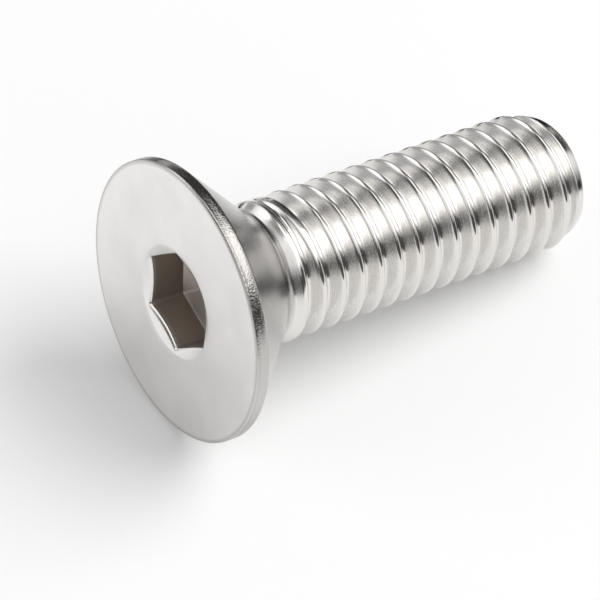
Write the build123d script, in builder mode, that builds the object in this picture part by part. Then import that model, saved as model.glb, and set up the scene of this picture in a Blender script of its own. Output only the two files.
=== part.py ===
"""M8 x 25 hexagon socket countersunk head screw, threaded up to a short neck, lying at rest.

Sizes are in millimetres. The screw is modelled upright on its head: the face of the head is
at Z = 0 and the tip points up. It is then laid down, on the rim of its head and the thread
near its tip: +Z up, +X from head to tip, and the origin on the surface it lies on, under
the middle of its bounding box.
"""

import os
from math import atan2, ceil, cos, degrees, radians, sin, tan

from build123d import *

# Driving dimensions: overall length, from the face of the head to the tip
length = 24.8

# Head: a flat face, a narrow cylindrical rim and a countersunk cone
head_diameter = 15.7
rim_height = 0.7
face_edge_break = 0.1
countersink_angle = 90.0

# Neck: the smooth length under the head, a little smaller than the thread's crests
neck_relief = 0.33  # how far the neck lies below the crests
neck_length = 0.25  # from the end of the cone to the rise
neck_fillet_radius = 0.6  # where the cone runs into the neck
neck_rise_angle = 35.0  # how it rises to the crests again

# Thread: M8, single start, right hand, at the middle of its tolerance
thread_diameter = 7.9  # over the crests
thread_pitch = 1.25
flank_angle = 60.0
crest_width = 0.18
root_width = 0.2
runout_start = 0.88  # from the end of the neck to where the groove begins
runout_turns = 0.3  # over which the groove sinks to its full depth

# Tip: a long shallow chamfer, as rolling leaves it
tip_chamfer = 0.6
tip_chamfer_angle = 22.0  # from the axis

# Socket: a hexagon punched into the face, with a conical mouth and a pointed floor
key_size = 5.1  # across flats
socket_depth = 2.25  # from the face to the foot of the six walls
mouth_margin = 0.25  # how far the mouth's edge stands outside the hexagon's corners
mouth_angle = 140.0
floor_angle = 120.0  # between opposite facets of the floor

# Angles round the axis, from where the thread's groove reaches its full depth
socket_angle = 30.75  # to a corner of the hexagon
top_angle = 283.15  # to the side that faces up when the screw lies

# Sizes and places that follow from the driving dimensions
head_radius = head_diameter / 2
crest_radius = thread_diameter / 2
neck_radius = crest_radius - neck_relief
tip_radius = crest_radius - tip_chamfer
cone_end = rim_height + (head_radius - neck_radius) / tan(radians(countersink_angle / 2))
neck_end = cone_end + neck_length
rise_end = neck_end + neck_relief / tan(radians(neck_rise_angle))
chamfer_start = length - tip_chamfer / tan(radians(tip_chamfer_angle))

flank_slope = tan(radians(flank_angle / 2))
groove_depth = (thread_pitch - crest_width - root_width) / 2 / flank_slope
root_radius = crest_radius - groove_depth
groove_start = neck_end + runout_start + runout_turns * thread_pitch  # at its full depth
cut_margin = 0.05  # how far the cutting forms stand out of the blank
cut_radius = crest_radius + cut_margin
cut_half_width = root_width / 2 + (groove_depth + cut_margin) * flank_slope


def half_section(*corners):
    """A half section in the XZ plane, from its (radius, height) corners."""
    with BuildSketch(Plane.XZ) as section:
        with BuildLine():
            Polyline(*corners, close=True)
        make_face()
    return section.sketch


def groove_section():
    """The thread's groove, cut across where it reaches its full depth."""
    return half_section(
        (root_radius, groove_start - root_width / 2),
        (cut_radius, groove_start - cut_half_width),
        (cut_radius, groove_start + cut_half_width),
        (root_radius, groove_start + root_width / 2),
    )


# The punch that forms the socket: a hexagon with a six-sided point, under a conical collar
with BuildPart() as socket_punch:
    corner_radius = key_size / 2 / cos(radians(30))
    floor_depth = socket_depth + key_size / 2 / tan(radians(floor_angle / 2))
    with BuildSketch(Plane.XY.offset(socket_depth)) as socket_foot:
        RegularPolygon(corner_radius, 6, rotation=socket_angle)
    extrude(amount=-socket_depth)
    loft([socket_foot.sketch.face(), Vertex(0, 0, floor_depth)])
    mouth_radius = corner_radius + mouth_margin
    collar_height = mouth_radius / tan(radians(mouth_angle / 2))
    revolve(half_section((0, 0), (mouth_radius, 0), (0, collar_height)), axis=Axis.Z)

# One turn of the thread's groove at its full depth
with BuildPart() as groove_turn:
    with BuildLine() as turn_path:
        Helix(thread_pitch, thread_pitch, root_radius, center=(0, 0, groove_start))
    sweep(groove_section(), path=turn_path.line, is_frenet=True)

# The run-out, where the groove winds down to the neck on a widening cone until it has left
# the blank; it is swept upwards with the opposite hand and mirrored
with BuildPart() as groove_runout:
    runout_height = runout_turns * thread_pitch
    runout_angle = degrees(atan2(groove_depth + cut_margin, runout_height))
    with BuildLine() as runout_path:
        Helix(
            thread_pitch / cos(radians(runout_angle)),
            runout_height,
            root_radius,
            center=(0, 0, groove_start),
            cone_angle=runout_angle,
            lefthand=True,
        )
    sweep(groove_section(), path=runout_path.line, is_frenet=True)
    mirror(about=Plane.XY.offset(groove_start), mode=Mode.REPLACE)

# The screw: the blank with its head, then the socket, then the thread turn by turn
with BuildPart() as screw:
    with BuildSketch(Plane.XZ) as outline:
        with BuildLine():
            Polyline(
                (0, 0),
                (head_radius, 0),
                (head_radius, rim_height),
                (neck_radius, cone_end),
                (neck_radius, neck_end),
                (crest_radius, rise_end),
                (crest_radius, chamfer_start),
                (tip_radius, length),
                (0, length),
                close=True,
            )
        make_face()
        face_corner = outline.vertices().sort_by_distance((head_radius, 0))[0]
        chamfer(face_corner, face_edge_break)
        neck_corner = outline.vertices().sort_by_distance((neck_radius, cone_end))[0]
        fillet(neck_corner, neck_fillet_radius)
    revolve(axis=Axis.Z)
    add(socket_punch.part, mode=Mode.SUBTRACT)
    add(groove_runout.part, mode=Mode.SUBTRACT)
    groove_turns = ceil((length + cut_half_width - groove_start) / thread_pitch)
    with Locations(*[(0, 0, turn * thread_pitch) for turn in range(groove_turns)]):
        add(groove_turn.part, mode=Mode.SUBTRACT)


def bearing(place):
    """How far the axis tilts when the screw bears on its rim and on the thread at a place."""
    taper = max(0, place - chamfer_start) * tan(radians(tip_chamfer_angle))
    return atan2(head_radius - crest_radius + taper, place - rim_height), place


# The lying position: two points bear, one on the lower edge of the rim and one on an edge
# of a crest near the tip, the first that meets the surface as the screw tips down
bottom_turn = (top_angle + 180) % 360 / 360
first_crest = groove_start + (bottom_turn + 0.5) * thread_pitch
crests = ceil((length - crest_width / 2 - first_crest) / thread_pitch)
crest_middles = [first_crest + crest * thread_pitch for crest in range(crests)]
tilt, bearing_place = min(
    bearing(middle + edge) for middle in crest_middles for edge in (-crest_width / 2, crest_width / 2)
)

# The screw laid down, and moved so that its bounding box stands over the origin
tilted_plane = Plane(origin=(0, 0, 0), x_dir=(sin(tilt), 0, cos(tilt)), z_dir=(cos(tilt), 0, -sin(tilt)))
with BuildPart() as tilted_screw:
    with Locations(tilted_plane):
        add(screw.part, rotation=(0, 0, -top_angle))
box = tilted_screw.part.bounding_box()
face_centre = Vector(-box.center().X, 0, -box.min.Z)
lying_screw = Pos(face_centre) * tilted_screw.part

lying_screw.label = "countersunk_screw"
os.makedirs("parts", exist_ok=True)
export_step(lying_screw, "parts/countersunk_screw.step")

print(f"tilt {degrees(tilt):.3f} degrees, face centre {face_centre.X:.4f}, {face_centre.Z:.4f}")
print(f"bears on the thread at {bearing_place:.2f}, root diameter {2 * root_radius:.2f}")
print(f"volume {lying_screw.volume:.1f} cubic mm")
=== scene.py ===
# %% [markdown]
# # A countersunk socket screw, lying on a white table
#
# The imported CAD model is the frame: it says where the screw lies and how large it is. In this
# lesson the screw is shaped again, finely enough for close light: rolled thread with rounded
# crests, a groove that runs out under the head, a punched hexagon socket. Then it gets a
# polished stainless finish and a small studio.

from math import cos, degrees, pi, radians, sin, tan

import bpy
import numpy as np
from mathutils import Matrix, Vector


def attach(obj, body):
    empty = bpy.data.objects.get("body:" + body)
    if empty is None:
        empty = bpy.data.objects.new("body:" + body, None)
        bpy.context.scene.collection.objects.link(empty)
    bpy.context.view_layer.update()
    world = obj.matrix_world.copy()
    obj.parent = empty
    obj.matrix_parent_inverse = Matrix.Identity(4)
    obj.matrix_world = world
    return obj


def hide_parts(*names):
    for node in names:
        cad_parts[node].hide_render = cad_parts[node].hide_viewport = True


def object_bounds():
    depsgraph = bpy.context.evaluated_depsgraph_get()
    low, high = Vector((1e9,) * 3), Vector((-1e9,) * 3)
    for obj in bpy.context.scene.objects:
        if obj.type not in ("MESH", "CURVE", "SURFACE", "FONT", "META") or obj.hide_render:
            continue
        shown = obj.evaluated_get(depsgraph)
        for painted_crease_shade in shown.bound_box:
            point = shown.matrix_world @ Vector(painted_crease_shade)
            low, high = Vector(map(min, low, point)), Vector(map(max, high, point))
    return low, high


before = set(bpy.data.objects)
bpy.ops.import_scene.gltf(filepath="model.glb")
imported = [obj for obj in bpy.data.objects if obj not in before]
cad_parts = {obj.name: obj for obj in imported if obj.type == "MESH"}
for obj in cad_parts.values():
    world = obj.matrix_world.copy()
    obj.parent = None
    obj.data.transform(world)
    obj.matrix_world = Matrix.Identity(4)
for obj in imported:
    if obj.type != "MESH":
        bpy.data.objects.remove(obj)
cad_low, cad_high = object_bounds()
print("CAD box, mm:", [round(1000 * (b - a), 2) for a, b in zip(cad_low, cad_high)])

# %% [markdown]
# ## Sizes
#
# A screw is turned round one axis, so nearly everything about it is a radius or a place along
# that axis, counted from the face of the head. All sizes here are in millimetres, the unit a
# screw is drawn in, and become metres once, when the mesh is made.

# %% Driving dimensions of the screw
MM = 0.001
LENGTH = 24.8
HEAD_RADIUS = 15.7 / 2
RIM_HEIGHT = 0.7
EDGE_BREAK = 0.1
CREST_RADIUS = 7.9 / 2
NECK_RELIEF = 0.33  # how far the neck lies below the crests
NECK_LENGTH = 0.25  # from the end of the cone to the rise
NECK_FILLET = 0.6
NECK_RISE = radians(35)
PITCH = 1.25
CREST_WIDTH = 0.18
ROOT_WIDTH = 0.2
RUNOUT_START = 0.88  # from the end of the neck to where the groove begins
RUNOUT_TURNS = 0.3  # in which the groove sinks to its full depth
TIP_CHAMFER = 0.6
TIP_ANGLE = radians(22)
APOTHEM = 5.1 / 2
SOCKET_DEPTH = 2.25  # to the foot of the walls
MOUTH_MARGIN = 0.25  # from the hexagon's corners to the edge of the mouth's cone
MOUTH_SLOPE = radians(20)
MOUTH_ROUNDING = 0.18
CORNER_ROUNDING = 0.2
SOCKET_TURN = radians(30.75)
TOP_TURN = radians(283.15)  # the angle round the screw that faces up as it lies
TILT = radians(9.933)

# %% Sizes that follow from them
flank_slope = tan(radians(30))
groove_depth = (PITCH - CREST_WIDTH - ROOT_WIDTH) / 2 / flank_slope
root_radius = CREST_RADIUS - groove_depth
neck_radius = CREST_RADIUS - NECK_RELIEF
cone_end = RIM_HEIGHT + HEAD_RADIUS - neck_radius
neck_end = cone_end + NECK_LENGTH
groove_start = neck_end + RUNOUT_START + RUNOUT_TURNS * PITCH
chamfer_start = LENGTH - TIP_CHAMFER / tan(TIP_ANGLE)
mouth_radius = APOTHEM / cos(radians(30)) + MOUTH_MARGIN
floor_depth = SOCKET_DEPTH + APOTHEM / tan(radians(60))
print(f"root {root_radius:.2f}, neck ends at {neck_end:.2f}, full thread from {groove_start:.2f}")

# %% [markdown]
# ## How it lies
#
# A countersunk screw rolls until it rests on two points: the lower edge of its head and a
# crest of its thread near the tip. That gives its axis a tilt of about ten degrees. Every
# point of the surface is then a radius, an angle and a place along this tilted axis. The
# frame says where the axis starts: the head's edge gives the box its lowest x and its
# highest z.

# %% The tilted axis
along = np.array([cos(TILT), 0.0, -sin(TILT)])
upward = np.array([sin(TILT), 0.0, cos(TILT)])
sideways = np.cross(along, upward)
face_centre = np.array([
    cad_low[0] / MM + (HEAD_RADIUS - EDGE_BREAK) * sin(TILT),
    0.0,
    cad_high[2] / MM - HEAD_RADIUS * cos(TILT) + EDGE_BREAK * sin(TILT),
])
print(f"tilt {degrees(TILT):.2f} degrees, face centre at {face_centre.round(2)} mm")


# %% A point of the screw, in metres
def screw_point(radius, turn, place):
    """Where a surface point is, from its radius, its angle and its place along the axis."""
    across = radius * np.cos(turn - TOP_TURN), radius * np.sin(turn - TOP_TURN)
    return MM * (
        face_centre
        + np.multiply.outer(place, along)
        + np.multiply.outer(across[0], upward)
        + np.multiply.outer(across[1], sideways)
    )


print("middle of the tip, mm:", (screw_point(0, 0, LENGTH) / MM).round(2))

# %% [markdown]
# ## The mesh as rings
#
# The whole skin of the screw can be one sheet of rings: it starts at the middle of the socket
# floor, comes up the six walls, goes over the face, down the cone, along the thread and closes
# at the middle of the tip. Each ring has the same number of points, so neighbours join with
# plain quads. The points crowd a little towards the six corners of the hexagon, where the
# surface bends most. On every stretch the rings lie at chosen shares of the way, close
# together where it meets the next one, because an edge needs them there.

# %% The angles of the points in a ring
COLUMNS = 144
CROWDING = 0.5
even = np.arange(COLUMNS) * 2 * pi / COLUMNS
from_corner = even - CROWDING / 6 * np.sin(6 * even)
turn = (from_corner + SOCKET_TURN) % (2 * pi)
steps = np.degrees(np.diff(from_corner))
print(f"{COLUMNS} points in a ring, {steps.min():.1f} to {steps.max():.1f} degrees apart")

# %% A list of rings
rings = []


def ring(radius, place, zone):
    """Adds one ring; radius and place are a number or one number for each point."""
    rings.append((radius + 0 * turn, place + 0 * turn, zone))


# %% [markdown]
# ## The socket
#
# The maker punches the socket with a hexagonal pin. Its corners are slightly rounded, or the
# punch would crack, and its end is a low six-sided point that leaves the same shape in the
# floor. A small cone round the mouth guides the key in. Where that cone meets the flat walls
# it cuts scallops, which come by themselves here: each point of a wall is cut at its own depth.

# %% Outline of the hexagon
def hexagon(angle):
    """Radius of the hexagon at an angle from one of its corners."""
    off_wall = (angle % (pi / 3)) - pi / 6
    flat = APOTHEM / np.cos(off_wall)
    centre = (APOTHEM - CORNER_ROUNDING) / cos(pi / 6)
    off_corner = pi / 6 - np.abs(off_wall)
    inside = np.maximum(CORNER_ROUNDING**2 - (centre * np.sin(off_corner)) ** 2, 0)
    rounded = centre * np.cos(off_corner) + np.sqrt(inside)
    on_wall = APOTHEM * np.abs(np.tan(off_wall)) <= (APOTHEM - CORNER_ROUNDING) * tan(pi / 6)
    return np.where(on_wall, flat, rounded)


wall = hexagon(from_corner)
print(f"hexagon {2 * APOTHEM:.2f} across flats, {2 * wall.max():.2f} across corners")

# %% Rings of the socket's floor and walls
FLOOR_SHARES = (0.06, 0.2, 0.4, 0.6, 0.8, 0.93, 0.985)
WALL_SHARES = (0.012, 0.05, 0.2, 0.4, 0.6, 0.8, 0.94)
for share in FLOOR_SHARES:
    ring(share * wall, floor_depth - share * (floor_depth - SOCKET_DEPTH), "socket")
wall_top = (mouth_radius - wall) * tan(MOUTH_SLOPE)
rounding_foot = wall_top + MOUTH_ROUNDING
for share in WALL_SHARES:
    ring(wall, SOCKET_DEPTH + share * (rounding_foot - SOCKET_DEPTH), "socket")
print(len(rings), "rings up to the mouth")

# %% Rings of the mouth: its rounded edge and its cone
ROUNDING_STEPS = 6
MOUTH_SHARES = (0.3, 0.6, 0.93)
for step in range(ROUNDING_STEPS + 1):
    share = step / ROUNDING_STEPS
    ring(
        wall + share**2 * MOUTH_ROUNDING,
        wall_top + (1 - share) ** 2 * MOUTH_ROUNDING
        - share**2 * MOUTH_ROUNDING * tan(MOUTH_SLOPE),
        "mouth",
    )
cone_start = wall + MOUTH_ROUNDING
for share in MOUTH_SHARES:
    radius = cone_start + share * (mouth_radius - cone_start)
    ring(radius, (mouth_radius - radius) * tan(MOUTH_SLOPE), "mouth")
print(len(rings), "rings with the mouth")

# %% [markdown]
# ## The head
#
# The head is turned, so its rings are plain circles: the flat face, its broken edge, the
# narrow cylindrical rim and the 45 degree cone. The broken edge is rounded over a tenth of a
# millimetre, and the edge towards the cone is cut by a few hundredths. This is what gives
# both of them their thin lines of light.

# %% Rings of the face and the rim
FACE_SHARES = (0.01, 0.1, 0.25, 0.4, 0.55, 0.7, 0.85, 0.96)
RIM_SHARES = (0.02, 0.12, 0.2, 0.35, 0.65, 0.93)
EDGE_STEPS = 5
EDGE_ZONE = 0.15  # share of the rim that still belongs to its edge
for share in FACE_SHARES:
    ring(mouth_radius + share * (HEAD_RADIUS - EDGE_BREAK - mouth_radius), 0, "face")
for step in range(EDGE_STEPS + 1):
    bend = step / EDGE_STEPS * pi / 2
    ring(HEAD_RADIUS - EDGE_BREAK * (1 - sin(bend)), EDGE_BREAK * (1 - cos(bend)), "rim")
for share in RIM_SHARES:
    place = EDGE_BREAK + share * (RIM_HEIGHT - EDGE_BREAK)
    ring(HEAD_RADIUS, place, "edge" if share < EDGE_ZONE else "rim")
print(len(rings), "rings with the face and the rim")

# %% Rings of the cone and its fillet
CONE_SHARES = (0.006, 0.03, 0.15, 0.3, 0.45, 0.6, 0.75, 0.9, 0.99)
FILLET_STEPS = 6
cone_foot = neck_radius + NECK_FILLET * (1 - cos(pi / 4))
for share in CONE_SHARES:
    radius = HEAD_RADIUS + share * (cone_foot - HEAD_RADIUS)
    ring(radius, RIM_HEIGHT + HEAD_RADIUS - radius, "cone")
fillet_end = cone_end + NECK_FILLET * tan(pi / 8)
for step in range(1, FILLET_STEPS + 1):
    bend = (1 - step / FILLET_STEPS) * pi / 4
    radius = neck_radius + NECK_FILLET * (1 - cos(bend))
    ring(radius, fillet_end - NECK_FILLET * sin(bend), "neck")
print(len(rings), "rings with the head")

# %% [markdown]
# ## The thread
#
# A helical sweep would be the CAD way to make a thread. In mesh code it is simpler to ask, for
# every point of a fine grid, how deep the groove is there. The groove climbs by one pitch in
# each turn, so its middle at any angle is known, and the 60 degree flanks rise from it. A
# rolled thread has no sharp edges: the roots and crests are rounded by a soft minimum and a
# soft maximum, which blend two surfaces over a short height.

# %% Soft minimum and maximum
def soft_min(a, b, blend):
    """The lower of two heights, rounded where they cross."""
    share = np.clip(0.5 + 0.5 * (b - a) / blend, 0, 1)
    return b + share * (a - b) - blend * share * (1 - share)


def soft_max(a, b, blend):
    """The higher of two heights, rounded where they cross."""
    return -soft_min(-a, -b, blend)


print(f"two heights of 1, blended over 0.2, meet at {soft_min(1, 1, 0.2):.2f}")

# %% The blank that the thread is rolled on
RISE_BLEND = 0.03
TIP_BLEND = 0.05


def blank(place):
    """Radius of the blank: neck, rise to the crests, crests and tip chamfer."""
    rise = neck_radius + np.maximum(place - neck_end, 0) * tan(NECK_RISE)
    taper = CREST_RADIUS - (place - chamfer_start) * tan(TIP_ANGLE)
    return soft_min(soft_min(rise, CREST_RADIUS, RISE_BLEND), taper, TIP_BLEND)


print(f"blank: radius {blank(neck_end):.2f} at the neck, {blank(LENGTH):.2f} at the tip")

# %% The groove
ROOT_BLEND = 0.16
CREST_BLEND = 0.15
full_turns = int((LENGTH - groove_start) / PITCH) + 2


def groove(place, middle, depth):
    """Radius of one turn of the groove round its middle, for points at place."""
    flank = (np.abs(place - middle) - ROOT_WIDTH / 2) / flank_slope
    return CREST_RADIUS - depth + soft_max(flank, 0, ROOT_BLEND)


def threaded(place):
    """Radius of the threaded blank at each point of a ring at place."""
    middle = groove_start + PITCH * turn / (2 * pi)
    sunk = groove_depth * (1 - (1 - turn / (2 * pi)) / RUNOUT_TURNS)
    radius = groove(place, middle - PITCH, sunk)
    for count in range(full_turns):
        radius = np.minimum(radius, groove(place, middle + count * PITCH, groove_depth))
    return soft_min(blank(place), radius, CREST_BLEND)


print(full_turns, "turns of the groove at full depth, the last one past the tip")

# %% Rings of the thread and the tip
RING_STEP = 0.035
AFTER_FILLET, BEFORE_TIP = 0.1, 0.02
# Painted shade: a dark line painted into the crease where the neck begins to rise.
CORNER_SHADE = 0.09  # half the width of the dark line where the neck begins to rise
TIP_SHARES = (0.985, 0.95, 0.8, 0.6, 0.4, 0.2, 0.06)
for place in np.arange(fillet_end + AFTER_FILLET, LENGTH - BEFORE_TIP, RING_STEP):
    zone = "neck" if place < neck_end - CORNER_SHADE else "thread"
    # Points at the end of the neck get the painted crease shade.
    if abs(place - neck_end) < CORNER_SHADE:
        zone = "painted_crease_shade"
    ring(threaded(place) if place > neck_end else neck_radius, place, zone)
tip_edge = threaded(LENGTH)
for share in TIP_SHARES:
    ring(share * tip_edge, LENGTH, "tip")
print(len(rings), "rings in all,", 2 * COLUMNS * len(rings), "triangles")


# %% [markdown]
# ## One closed mesh
#
# The rings are stacked into arrays and joined with quads, and the two ends close with a fan of
# triangles round a pole.

# %% Build the mesh
SHARP_ANGLE = radians(38)


def placed(name, data):
    """An object with this mesh, lamp or camera, in the scene."""
    item = bpy.data.objects.new(name, data)
    bpy.context.collection.objects.link(item)
    return item


def screw_mesh():
    """The screw's skin, from the socket's floor to the tip, and the place of each point."""
    radius = np.array([row[0] for row in rings])
    place = np.array([row[1] for row in rings])
    points = screw_point(radius, np.broadcast_to(turn, radius.shape), place).reshape(-1, 3)
    poles = screw_point(np.zeros(2), np.zeros(2), np.array([floor_depth, LENGTH]))
    faces = []
    for row in range(len(rings) - 1):
        for column in range(COLUMNS):
            beside = (column + 1) % COLUMNS
            a, b = row * COLUMNS + column, row * COLUMNS + beside
            faces.append((a, b, b + COLUMNS, a + COLUMNS))
    floor_pole, tip_pole = len(points), len(points) + 1
    last = (len(rings) - 1) * COLUMNS
    for column in range(COLUMNS):
        beside = (column + 1) % COLUMNS
        faces.append((floor_pole, beside, column))
        faces.append((tip_pole, last + column, last + beside))
    mesh = bpy.data.meshes.new("countersunk_screw_skin")
    mesh.from_pydata(np.vstack([points, poles]).tolist(), [], faces)
    mesh.validate()
    return mesh, place


skin, ring_place = screw_mesh()
screw = placed("polished_screw", skin)
skin.shade_smooth()
skin.set_sharp_from_angle(angle=SHARP_ANGLE)
print("screw:", len(skin.vertices), "points,", len(skin.polygons), "faces")

# %% [markdown]
# ## Measures for the finish
#
# Two measures are kept on the points. The first says how much a point belongs to the socket,
# the rim, the thread and the neck, as red, green, blue and alpha, and so how much painted
# shade and painted dark reflection it gets. On the neck and the rim it also fades round the
# screw, from the front and top to the back and below, because their dark tone is a painted
# reflection of a dark room in front. The second gives the place within the pitch, as the
# cosine and the sine of its angle, and the place along the axis.

# %% Zones on the points
NO_ZONE = (0, 0, 0, 0)
# The rim, edge, cone and neck zones lay a painted dark reflection of a dark room over the steel;
# the socket zone lays painted shade.
ZONES = {
    "socket": (1, 0, 0, 0), "edge": (0, 1, 0, 0), "rim": (0, 0.8, 0, 0), "cone": (0, 0, 0, 0.7),
    "neck": (0, 0, 0, 0.8), "thread": (0, 0, 1, 0),
    # Painted shade in the crease where the neck begins to rise.
    "painted_crease_shade": (0, 0, 0, 1.6),  # held to 1 in the shader, so that it fades later than the neck
}
# Painted dark reflection: its share is strongest towards the front and top, where a dark room is
# mirrored, and fades round the screw.
PAINTED_REFLECTION_SIDE = radians(36)
LEAST_PAINTED_REFLECTION = 0.25
PAINTED_REFLECTION_POWER = 5
painted_reflection_share = np.maximum(np.cos(turn - TOP_TURN - PAINTED_REFLECTION_SIDE), 0) ** PAINTED_REFLECTION_POWER
painted_reflection_share = LEAST_PAINTED_REFLECTION + (1 - LEAST_PAINTED_REFLECTION) * painted_reflection_share
zone_values = np.array([ZONES.get(row[2], NO_ZONE) for row in rings])
zone_values = np.repeat(zone_values[:, None], COLUMNS, axis=1)
zone_values[:, :, 3] *= painted_reflection_share
zone_values[:, :, 1] *= np.sqrt(painted_reflection_share)
zone_values = np.vstack([zone_values.reshape(-1, 4), [ZONES["socket"], NO_ZONE]])
finish_and_painted_shade_zones = skin.attributes.new("finish_and_painted_shade_zones", "FLOAT_COLOR", "POINT")
finish_and_painted_shade_zones.data.foreach_set("color", zone_values.ravel())
print("points in a zone:", int((zone_values.max(axis=1) > 0).sum()), "of", len(zone_values))

# %% The lay of the thread on the points
phase = 2 * pi * (ring_place - groove_start) / PITCH - turn
lay = np.stack([np.cos(phase), np.sin(phase), ring_place], axis=-1).reshape(-1, 3)
lay = np.vstack([lay, [(0, 0, floor_depth)], [(0, 0, LENGTH)]])
thread_lay = skin.attributes.new("thread_lay", "FLOAT_VECTOR", "POINT")
thread_lay.data.foreach_set("vector", lay.ravel())
print(f"places along the axis: {lay[:, 2].min():.2f} to {lay[:, 2].max():.2f} mm")

# %% Hand the screw over to the frame
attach(screw, "root")
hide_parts("countersunk_screw")
print(screw.name, "stands in for countersunk_screw")


# %% [markdown]
# ## Nodes by name
#
# A finish is a small tree of nodes. This helper makes one, sets its options, sets its sockets
# by name or number and links any socket whose value is another node's output.

# %% A helper for nodes
def node(tree, kind, label="", options=(), **sockets):
    """Adds a node; sockets are its inputs: _0 is the first, From_Min the one called From Min."""
    made = tree.nodes.new(kind)
    made.label = label
    for name, value in dict(options).items():
        setattr(made, name, value)
    for name, value in sockets.items():
        key = int(name[1:]) if name[1:].isdigit() else name.replace("_", " ")
        if isinstance(value, bpy.types.NodeSocket):
            tree.links.new(value, made.inputs[key])
        else:
            made.inputs[key].default_value = value
    return made


def new_material(name):
    """A material with an empty tree and an output."""
    material = bpy.data.materials.new(name)
    material.use_nodes = True
    material.node_tree.nodes.clear()
    output = material.node_tree.nodes.new("ShaderNodeOutputMaterial")
    return material, material.node_tree, output


# %% [markdown]
# Sums, blends and ranges come up again and again in a finish, so each gets a short form that
# gives back the output of its node.

# %% Short forms for sums and blends
def math_node(tree, operation, label, first, second=0.0, third=0.0):
    """The output of one math node."""
    options = {"operation": operation}
    return node(tree, "ShaderNodeMath", label, options, _0=first, _1=second, _2=third).outputs[0]


def blend(tree, label, share, plain, other):
    """The output of a colour mix: plain where share is 0, other where it is 1."""
    options = {"data_type": "RGBA"}
    return node(tree, "ShaderNodeMix", label, options, _0=share, _6=plain, _7=other).outputs[2]


def ranged(tree, label, value, low, high, to_low, to_high, options=()):
    """The output of a map range: value from low..high becomes to_low..to_high, and stays inside."""
    return node(
        tree, "ShaderNodeMapRange", label, options, Value=value, From_Min=low, From_Max=high,
        To_Min=to_low, To_Max=to_high,
    ).outputs["Result"]


def seen_or_mirrored(tree):
    """1 for a ray that the camera sends out, mirrored or not, and 0 for one that gathers light."""
    rays = node(tree, "ShaderNodeLightPath")
    mirrored = math_node(
        tree, "MAXIMUM", "mirrored or refracted", rays.outputs["Is Glossy Ray"],
        rays.outputs["Is Transmission Ray"],
    )
    return math_node(tree, "MAXIMUM", "seen or mirrored", rays.outputs["Is Camera Ray"], mirrored)


# %% [markdown]
# ## The steel
#
# The screw is one piece of stainless steel, but it was not finished alike everywhere. The face
# is satin, the rim is turned and coarser, the rolled thread is smooth on its crests and a little
# rougher on its flanks, and the punched socket is rougher. The rim, the cone and the neck are
# painted dark, as a painted reflection of a dark room, and the socket dark and warm, as painted
# shade of its recess. One material can do all this when the zones on the points blend its colour
# and its roughness. The crests and flanks need no zone of their own: the place within the pitch
# tells them apart.

# %% Zones and measures in the shader
FLANK_FROM, FLANK_TO = 0.2, 0.6  # steepness at which a flank begins and is fully there
steel, tree, output = new_material("polished_stainless")
coords = node(tree, "ShaderNodeTexCoord")
in_mm = node(
    tree, "ShaderNodeVectorMath", "place in mm", {"operation": "SCALE"},
    _0=coords.outputs["Object"], Scale=1000,
).outputs[0]
zone = node(tree, "ShaderNodeAttribute", "zones", {"attribute_name": "finish_and_painted_shade_zones"})
parts = node(tree, "ShaderNodeSeparateColor", "zones apart", Color=zone.outputs["Color"])
in_socket, on_rim, on_thread = parts.outputs["Red"], parts.outputs["Green"], parts.outputs["Blue"]
# Alpha: share of painted dark reflection on the cone and neck, and of painted shade in the crease.
painted_dark_share_on_neck = zone.outputs["Alpha"]
lay = node(tree, "ShaderNodeAttribute", "thread lay", {"attribute_name": "thread_lay"})
lay_parts = node(tree, "ShaderNodeSeparateXYZ", "lay apart", Vector=lay.outputs["Vector"])
sine = lay_parts.outputs["Y"]
steepness = math_node(tree, "MULTIPLY", "steepness", sine, sine)
steep = ranged(tree, "steep", steepness, FLANK_FROM, FLANK_TO, 0, 1)
on_flank = math_node(tree, "MULTIPLY", "flank", steep, on_thread)
print("nodes for the zones:", len(tree.nodes))

# %% [markdown]
# Nothing made in a machine is perfectly even. Three noises break up the light: fine grain
# everywhere, specks on the turned rim, and streaks that run along the thread, because the
# rolling die drags the steel that way. They are stretched by reading them in the thread's own
# measures instead of in x, y and z. Slow clouds vary the tone of the steel a little.

# %% Grain, streaks and clouds
ALONG_THREAD = (5.0, 5.0, 2.5)


def noise(label, vector, scale, detail):
    """The output of one noise; a larger scale makes it finer, more detail makes it rougher."""
    return node(
        tree, "ShaderNodeTexNoise", label, Vector=vector, Scale=scale, Detail=detail
    ).outputs["Fac"]


grain = noise("grain", in_mm, 7.0, 5.0)
specks = noise("specks", in_mm, 9.0, 2.0)
clouds = noise("clouds", in_mm, 0.35, 3.0)
stretched = node(
    tree, "ShaderNodeVectorMath", "along the thread", {"operation": "MULTIPLY"},
    _0=lay.outputs["Vector"], _1=ALONG_THREAD,
)
streaks = noise("streaks", stretched.outputs[0], 1.0, 4.0)
print("nodes with the noises:", len(tree.nodes))

# %% [markdown]
# For a metal the base colour is what it mirrors back. The darker ones are painted: on the rim,
# the cone and the neck a painted dark reflection of a dark room, in the socket painted shade of
# its recess. The rim is also held back at its edges, because even a dark metal turns bright
# when it is seen at a low angle, which would undo its painted dark reflection.

# %% Colour
PLAIN_STEEL = (0.85, 0.84, 0.825, 1)
CLOUDED_STEEL = (0.79, 0.78, 0.765, 1)
THREAD_STEEL = (0.78, 0.765, 0.745, 1)
# Painted dark reflection on the rim; painted dark reflection and painted crease shade on the cone
# and neck.
RIM_PAINTED_DARK_REFLECTION = (0.3, 0.285, 0.27, 1)
NECK_PAINTED_SHADE_AND_REFLECTION = (0.14, 0.13, 0.125, 1)
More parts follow.
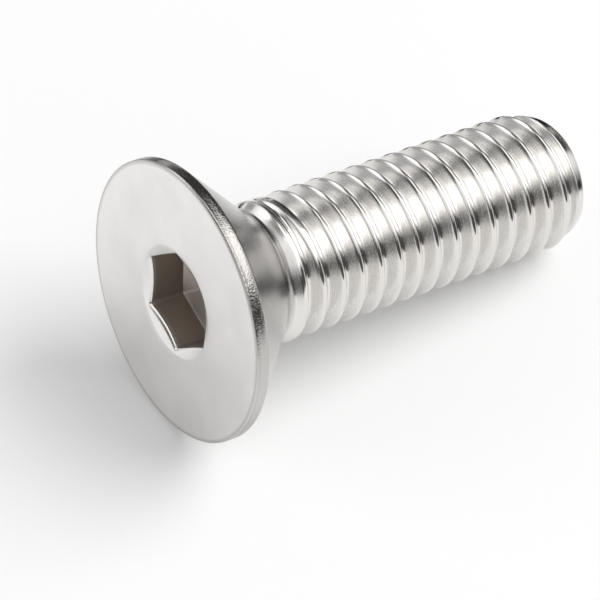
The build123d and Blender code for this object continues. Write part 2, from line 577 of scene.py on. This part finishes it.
# Painted shade: the inside of the socket is darkened and warmed as if shaded in its recess.
SOCKET_PAINTED_SHADE = (0.44, 0.39, 0.35, 1)
RIM_EDGE_TINT = (0.15, 0.15, 0.15, 1)
WHITE = (1, 1, 1, 1)
cloud = ranged(tree, "cloud", clouds, 0.35, 0.65, 0, 1)
colour = blend(tree, "clouds", cloud, PLAIN_STEEL, CLOUDED_STEEL)
# The rim, neck and socket blends lay the painted dark reflection and the painted shade over the
# steel.
for label, share, other in (
    ("thread", on_thread, THREAD_STEEL), ("rim", on_rim, RIM_PAINTED_DARK_REFLECTION),
    ("neck", painted_dark_share_on_neck, NECK_PAINTED_SHADE_AND_REFLECTION), ("socket", in_socket, SOCKET_PAINTED_SHADE),
):
    colour = blend(tree, label, share, colour, other)
# Darkens the rim's edge tint, so that its painted dark reflection stays dark at low angles.
edge_tint = blend(tree, "edge tint", on_rim, WHITE, RIM_EDGE_TINT)
print("nodes with the colour:", len(tree.nodes))

# %% [markdown]
# Roughness starts from the satin face and moves with each zone. Bump then adds relief of
# 0.003 to 0.03 mm, far too fine to model.

# %% Roughness
FACE_ROUGHNESS = 0.24
GRAIN_SWING = 0.02
STREAK_SWING = 0.03
LEAST_ROUGHNESS = 0.05
grained = ranged(tree, "grain roughness", grain, 0.3, 0.7, -GRAIN_SWING, GRAIN_SWING)
streaked = ranged(tree, "streak roughness", streaks, 0.35, 0.65, -STREAK_SWING, STREAK_SWING)
rough = FACE_ROUGHNESS
for label, share, change in (
    ("thread", on_thread, -0.14), ("flank", on_flank, 0.15), ("rim", on_rim, -0.12),
    ("socket", in_socket, 0.2), ("streaks", on_thread, streaked),
):
    rough = math_node(tree, "MULTIPLY_ADD", label, share, change, rough)
rough = math_node(tree, "ADD", "grain", rough, grained)
rough = math_node(tree, "MAXIMUM", "roughness", rough, LEAST_ROUGHNESS)
print("nodes with the roughness:", len(tree.nodes))

# %% Bump
STREAK_DEPTH, GRAIN_DEPTH, SPECK_DEPTH = 0.000012, 0.000003, 0.00003
SOFT_BUMP, FULL_BUMP = 0.35, 1.0
thread_streaks = math_node(tree, "MULTIPLY", "on thread", streaks, on_thread)
rim_specks = math_node(tree, "MULTIPLY", "on rim", specks, on_rim)
streak_bump = node(
    tree, "ShaderNodeBump", "streaks", Height=thread_streaks, Strength=SOFT_BUMP,
    Distance=STREAK_DEPTH,
)
speck_bump = node(
    tree, "ShaderNodeBump", "specks", Height=rim_specks, Strength=FULL_BUMP,
    Distance=SPECK_DEPTH, Normal=streak_bump.outputs["Normal"],
)
grain_bump = node(
    tree, "ShaderNodeBump", "grain", Height=grain, Strength=SOFT_BUMP, Distance=GRAIN_DEPTH,
    Normal=speck_bump.outputs["Normal"],
)
print("nodes with the bump:", len(tree.nodes))

# %% Steel
shader = node(
    tree, "ShaderNodeBsdfPrincipled", "steel", Base_Color=colour, Metallic=1.0, Roughness=rough,
    Specular_Tint=edge_tint, Normal=grain_bump.outputs["Normal"],
)
tree.links.new(shader.outputs["BSDF"], output.inputs["Surface"])
skin.materials.append(steel)
print(steel.name, "has", len(tree.nodes), "nodes")

# %% [markdown]
# ## Table
#
# A plain white table. Its emission is only seen by the camera and in reflections, so the table
# reads white, keeps the screw's shadow and throws no extra light on the screw. Away from the
# screw it fades to plain white, so that the shadow runs out softly and no horizon shows.

# %% Table
TABLE_RADIUS = 1.5
TABLE_DROP = 0.00001
TABLE_TONE = (0.82, 0.82, 0.82, 1)
TABLE_GLOW = 0.1
FADE_START, FADE_END = 0.004, 0.055  # metres from the middle of the screw
bpy.ops.mesh.primitive_circle_add(vertices=96, radius=TABLE_RADIUS, fill_type="NGON")
table = bpy.context.object
table.name = "white_table"
table.location.z = -TABLE_DROP
print(f"table {2 * TABLE_RADIUS:.0f} m across, plain white from {FADE_END / MM:.0f} mm out")

# %% The table's material
white, tree, output = new_material("white_table")
seen = seen_or_mirrored(tree)
diffuse = node(tree, "ShaderNodeBsdfDiffuse", "table", Color=TABLE_TONE)
strength = math_node(tree, "MULTIPLY", "glow", seen, TABLE_GLOW)
glow = node(tree, "ShaderNodeEmission", "seen only", Color=WHITE, Strength=strength)
both = node(
    tree, "ShaderNodeAddShader", "table and glow", _0=diffuse.outputs[0], _1=glow.outputs[0]
)
coords = node(tree, "ShaderNodeTexCoord")
away = node(
    tree, "ShaderNodeVectorMath", "distance from the screw", {"operation": "LENGTH"},
    _0=coords.outputs["Object"],
)
fade = ranged(
    tree, "fade to white", away.outputs["Value"], FADE_START, FADE_END, 0, 1,
    {"interpolation_type": "SMOOTHSTEP"},
)
share = math_node(tree, "MULTIPLY", "seen far off", fade, seen)
far_white = node(tree, "ShaderNodeEmission", "far white", Color=WHITE, Strength=1.0)
whole = node(
    tree, "ShaderNodeMixShader", "whole table", _0=share, _1=both.outputs[0],
    _2=far_white.outputs[0],
)
tree.links.new(whole.outputs[0], output.inputs["Surface"])
table.data.materials.append(white)
print(white.name, "has", len(tree.nodes), "nodes")

# %% [markdown]
# ## Room and lamps
#
# The world fills the shadows, and shows itself as plain white. One soft lamp high in front,
# past the tip, throws the shadow of the head to the left, and a weak one lightens it. Neither
# is seen in the steel: what the steel mirrors is laid out by itself, after the lamps.

# %% World
ROOM_LEVEL = 0.4
world = bpy.data.worlds.new("studio")
bpy.context.scene.world = world
world.use_nodes = True
tree = world.node_tree
tree.nodes.clear()
level = ranged(tree, "level", seen_or_mirrored(tree), 0, 1, ROOM_LEVEL, 1)
background = node(tree, "ShaderNodeBackground", "room", Color=WHITE, Strength=level)
world_output = tree.nodes.new("ShaderNodeOutputWorld")
tree.links.new(background.outputs[0], world_output.inputs["Surface"])
print("the room lights at", ROOM_LEVEL, "and is seen as 1")


# %% Lamps
def toward(azimuth, elevation, distance):
    """A point seen from the middle of the screw in that direction, in degrees and metres."""
    azimuth, elevation = radians(azimuth), radians(elevation)
    return distance * Vector(
        (cos(azimuth) * cos(elevation), sin(azimuth) * cos(elevation), sin(elevation))
    )


def softbox(name, azimuth, elevation, distance, width, height, power):
    """A soft lamp aimed at the screw, which neither the camera nor the steel sees."""
    lamp = bpy.data.lights.new(name, "AREA")
    lamp.shape = "RECTANGLE"
    lamp.size, lamp.size_y, lamp.energy = width, height, power
    item = placed(name, lamp)
    item.location = toward(azimuth, elevation, distance)
    item.rotation_euler = (-item.location).to_track_quat("-Z", "Y").to_euler()
    item.visible_camera = False
    item.visible_glossy = False
    print(f"{name}: {power} W at {distance} m")


softbox("key", -30, 48, 0.6, 0.6, 0.4, 3.75)
softbox("left wall", 150, 30, 0.6, 0.45, 0.22, 0.4)


# %% [markdown]
# ## What the steel mirrors
#
# Polished steel has hardly a look of its own: it shows the room. Shiny things are therefore
# lit in a tent, with dark flags and bright reflectors hung round them. Here the tent is a dome
# seen by mirrored rays alone. Each patch is given by its azimuths, its elevations, its tone
# and the width of its soft edge, in degrees, and later patches lie over earlier ones. The key
# gives the long highlight on the thread, the dark room in front gives the streaks below it,
# and the flag past the tip helps to draw the dark lines at the crests.

# %% Patches of the light tent
BASE_TONE = 1.0
PATCHES = (
    (-180, 180, 62, 90, 1.3, 6),  # ceiling
    (48, 172, 48, 66, 0.35, 6),  # dark flag high at the back
    (-75, 5, 36, 66, 2.6, 5),  # key
    (-34, 8, 24, 40, 1.3, 4),  # its reflector, towards the tip
    (142, 178, 8, 60, 0.08, 5),  # dark flag behind the head
    (46, 142, -5, 17, 0.4, 5),  # grey card low at the back
    (64, 100, 25, 46, 1.3, 4),  # gap above it
    (104, 141, 20, 48, 1.4, 4),  # gap towards the head
    (5, 65, -5, 50, 0.05, 5),  # dark flag past the tip
    (-156, -42, -5, 29, 0.07, 5),  # dark room behind the camera
    (-140, -75, 29, 37, 0.5, 4),  # its blurred upper edge
)


def soft_step(value, edge, width):
    """Rises from 0 to 1 round an edge."""
    share = np.clip((value - edge) / width + 0.5, 0, 1)
    return share * share * (3 - 2 * share)


def dome_tone(azimuth, elevation):
    """How bright the dome is in a direction: the base tone, with the patches laid over it."""
    tone = BASE_TONE + 0 * azimuth
    for from_az, to_az, from_el, to_el, patch_tone, edge in PATCHES:
        share = soft_step(elevation, from_el, edge)
        if to_el < 90:
            share = share * (1 - soft_step(elevation, to_el, edge))
        if to_az - from_az < 360:
            off_centre = (azimuth - (from_az + to_az) / 2 + 180) % 360 - 180
            share = share * (1 - soft_step(np.abs(off_centre), (to_az - from_az) / 2, edge))
        tone = tone + share * (patch_tone - tone)
    return tone


patch_tones = [patch[4] for patch in PATCHES]
print(len(PATCHES), "patches, with tones from", min(patch_tones), "to", max(patch_tones))

# %% A skin that only mirrored rays see
def mirrored_only(name, points, faces, tone):
    """Adds a glowing skin; tone is one number, or a list with a number for each point."""
    mesh = bpy.data.meshes.new(name)
    mesh.from_pydata(points, [], faces)
    item = placed(name, mesh)
    for ray in ("camera", "diffuse", "shadow", "transmission", "volume_scatter"):
        setattr(item, "visible_" + ray, False)
    material, tree, output = new_material(name)
    if not isinstance(tone, float):
        mesh.attributes.new("tone", "FLOAT", "POINT").data.foreach_set("value", tone)
        kept = node(tree, "ShaderNodeAttribute", "tone", {"attribute_name": "tone"})
        tone = kept.outputs["Fac"]
    glow = node(tree, "ShaderNodeEmission", "glow", Color=WHITE, Strength=tone)
    tree.links.new(glow.outputs[0], output.inputs["Surface"])
    mesh.materials.append(material)
    print(name, "has", len(mesh.vertices), "points")


# %% The dome, with its tones on the points
DOME_RADIUS = 0.45
DOME_STEP = 2
az_grid, el_grid = np.meshgrid(np.arange(-180, 180, DOME_STEP), np.arange(0, 90, DOME_STEP))
azimuth, elevation = np.radians(az_grid), np.radians(el_grid)
dome_points = DOME_RADIUS * np.stack(
    [np.cos(azimuth) * np.cos(elevation), np.sin(azimuth) * np.cos(elevation), np.sin(elevation)],
    axis=-1,
).reshape(-1, 3)
rows, across = az_grid.shape
dome_faces = []
for row in range(rows - 1):
    for column in range(across):
        a, b = row * across + column, row * across + (column + 1) % across
        dome_faces.append((a, b, b + across, a + across))
dome_faces.append(tuple(range((rows - 1) * across, rows * across)))
mirrored_only(
    "light_tent", dome_points.tolist(), dome_faces, dome_tone(az_grid, el_grid).ravel()
)

# %% [markdown]
# The far edge of each crest mirrors the table behind the screw. A dark ribbon there draws the
# thin dark outlines of the crests. It leaves a gap for the cone, which stays bright.

# %% Dark ribbon on the table
RIBBON_TONE = 0.02
RIBBON_LIFT = 0.0001
RIBBON_OUTLINE = (
    (-6, 5), (-6, 9), (4, 9), (13, 12), (13, 32), (-6, 32), (-6, 76), (100, 76), (100, -16),
    (24, -16), (24, 5),
)
ribbon_points = [(MM * x, MM * y, RIBBON_LIFT) for x, y in RIBBON_OUTLINE]
mirrored_only("dark_ribbon", ribbon_points, [range(len(RIBBON_OUTLINE))], RIBBON_TONE)

# %% [markdown]
# ## Camera
#
# A long lens, in front of the head and well above it, looks down along the shank, as for a
# catalogue. The rotation comes from two directions: where it looks, and what is to its right.

# %% Camera
EYE = Vector((-0.0946585, -0.1376358, 0.1844681))
VIEW = Vector((0.370579, 0.561763, -0.739658))
RIGHT = Vector((0.834735, -0.550651, 0.0))
camera_data = bpy.data.cameras.new("camera")
camera_data.lens = 270
camera_data.sensor_width = 36
camera_data.clip_start = 0.01
camera = placed("camera", camera_data)
turned = Matrix((RIGHT, RIGHT.cross(VIEW), -VIEW)).transposed()
camera.matrix_world = Matrix.Translation(EYE) @ turned.to_4x4()
bpy.context.scene.camera = camera
bpy.context.scene.view_settings.view_transform = "Standard"
print(f"camera {EYE.length / MM:.0f} mm from the screw, lens {camera_data.lens:.0f} mm")

# %% [markdown]
# ## Size
#
# The finer screw has to fill the same box as the CAD model and never stand out of it.

# %% Update the scene
bpy.context.view_layer.update()
